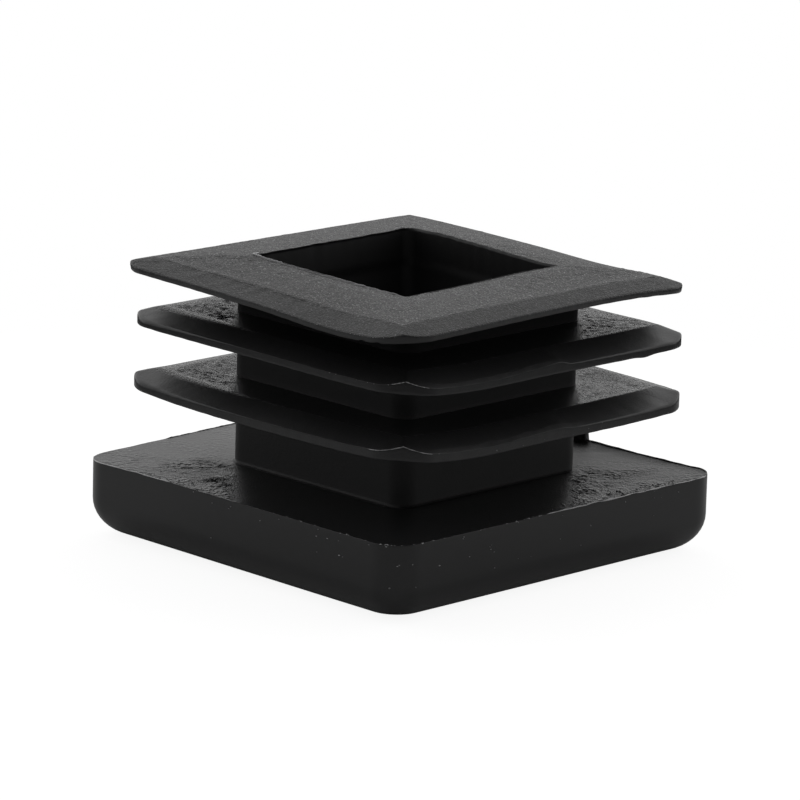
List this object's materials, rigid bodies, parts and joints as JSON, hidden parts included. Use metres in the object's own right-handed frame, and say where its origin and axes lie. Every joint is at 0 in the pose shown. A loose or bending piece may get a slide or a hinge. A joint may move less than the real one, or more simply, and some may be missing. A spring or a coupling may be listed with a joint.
{
  "type": "square tube end cap",
  "caption": "Square end cap moulded in one piece: a thick head with a rounded outer edge and a hollow core with bevelled ribs that grip the inside of a square tube.",
  "frame": {"origin": "middle of the head's outer face, on which the cap stands", "axes": "+Z from the head towards the mouth of the core, into the tube; X and Y along the sides of the square; the feed stub is at the +Y edge of the seat"},
  "size_m": [0.025, 0.025, 0.0159],
  "materials": {
    "black_plastic": "matte moulded plastic, spark-eroded grain on the upper faces, smoother on the bevels and sides"
  },
  "bodies": {
    "root": {"end_cap": "black_plastic"}
  },
  "joints": []
}
